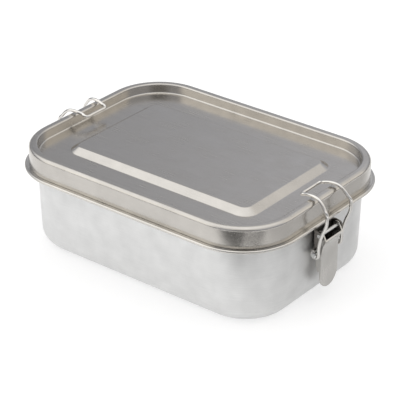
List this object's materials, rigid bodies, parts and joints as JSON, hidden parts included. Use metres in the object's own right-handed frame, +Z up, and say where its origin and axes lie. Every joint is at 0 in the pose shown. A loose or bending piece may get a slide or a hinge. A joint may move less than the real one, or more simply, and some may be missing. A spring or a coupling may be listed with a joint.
{
  "type": "lunch box",
  "caption": "Stainless steel lunch box: rounded rectangular tub, lift-off lid with a raised rim and centre panel, and an over-centre wire bail clip on each short end.",
  "frame": {"origin": "under the middle of the tub's flat base, on the surface it stands on", "axes": "+X along the long side, through both clips; +Y across the box; +Z up, the way the lid lifts off"},
  "size_m": [0.1866, 0.13, 0.0634],
  "materials": {
    "tub": "satin brushed stainless steel",
    "lid": "satin brushed stainless steel",
    "seal": "translucent white silicone",
    "bracket": "plain stainless sheet",
    "lever": "satin stainless sheet",
    "wire": "polished stainless spring wire"
  },
  "bodies": {
    "box": {"tub": "tub", "left_bracket": "bracket", "right_bracket": "bracket", "left_hinge_pin": "wire", "right_hinge_pin": "wire"},
    "lid": {"lid": "lid", "seal": "seal"},
    "right_lever": {"right_lever": "lever", "right_bail_pin": "wire"},
    "right_bail": {"right_bail": "wire"},
    "left_lever": {"left_lever": "lever", "left_bail_pin": "wire"},
    "left_bail": {"left_bail": "wire"}
  },
  "joints": [
    {"name": "lid_lift", "type": "slide", "parent": "box", "child": "lid", "axis": [0, 0, 1], "range_m": [0, 0.11]},
    {"name": "right_lever_hinge", "type": "hinge", "parent": "box", "child": "right_lever", "pos_m": [0.0864, 0, 0.0403], "axis": [0, -1, 0], "range_deg": [0, 150]},
    {"name": "right_bail_swing", "type": "hinge", "parent": "right_lever", "child": "right_bail", "pos_m": [0.08539, 0, 0.02985], "axis": [0, 1, 0], "range_deg": [0, 165]},
    {"name": "left_lever_hinge", "type": "hinge", "parent": "box", "child": "left_lever", "pos_m": [-0.0864, 0, 0.0403], "axis": [0, 1, 0], "range_deg": [0, 150]},
    {"name": "left_bail_swing", "type": "hinge", "parent": "left_lever", "child": "left_bail", "pos_m": [-0.08539, 0, 0.02985], "axis": [0, -1, 0], "range_deg": [0, 165]}
  ],
  "couplings": [
    {"joint": "right_bail_swing", "follows": "right_lever_hinge", "ratio": 1.1},
    {"joint": "left_bail_swing", "follows": "left_lever_hinge", "ratio": 1.1}
  ]
}
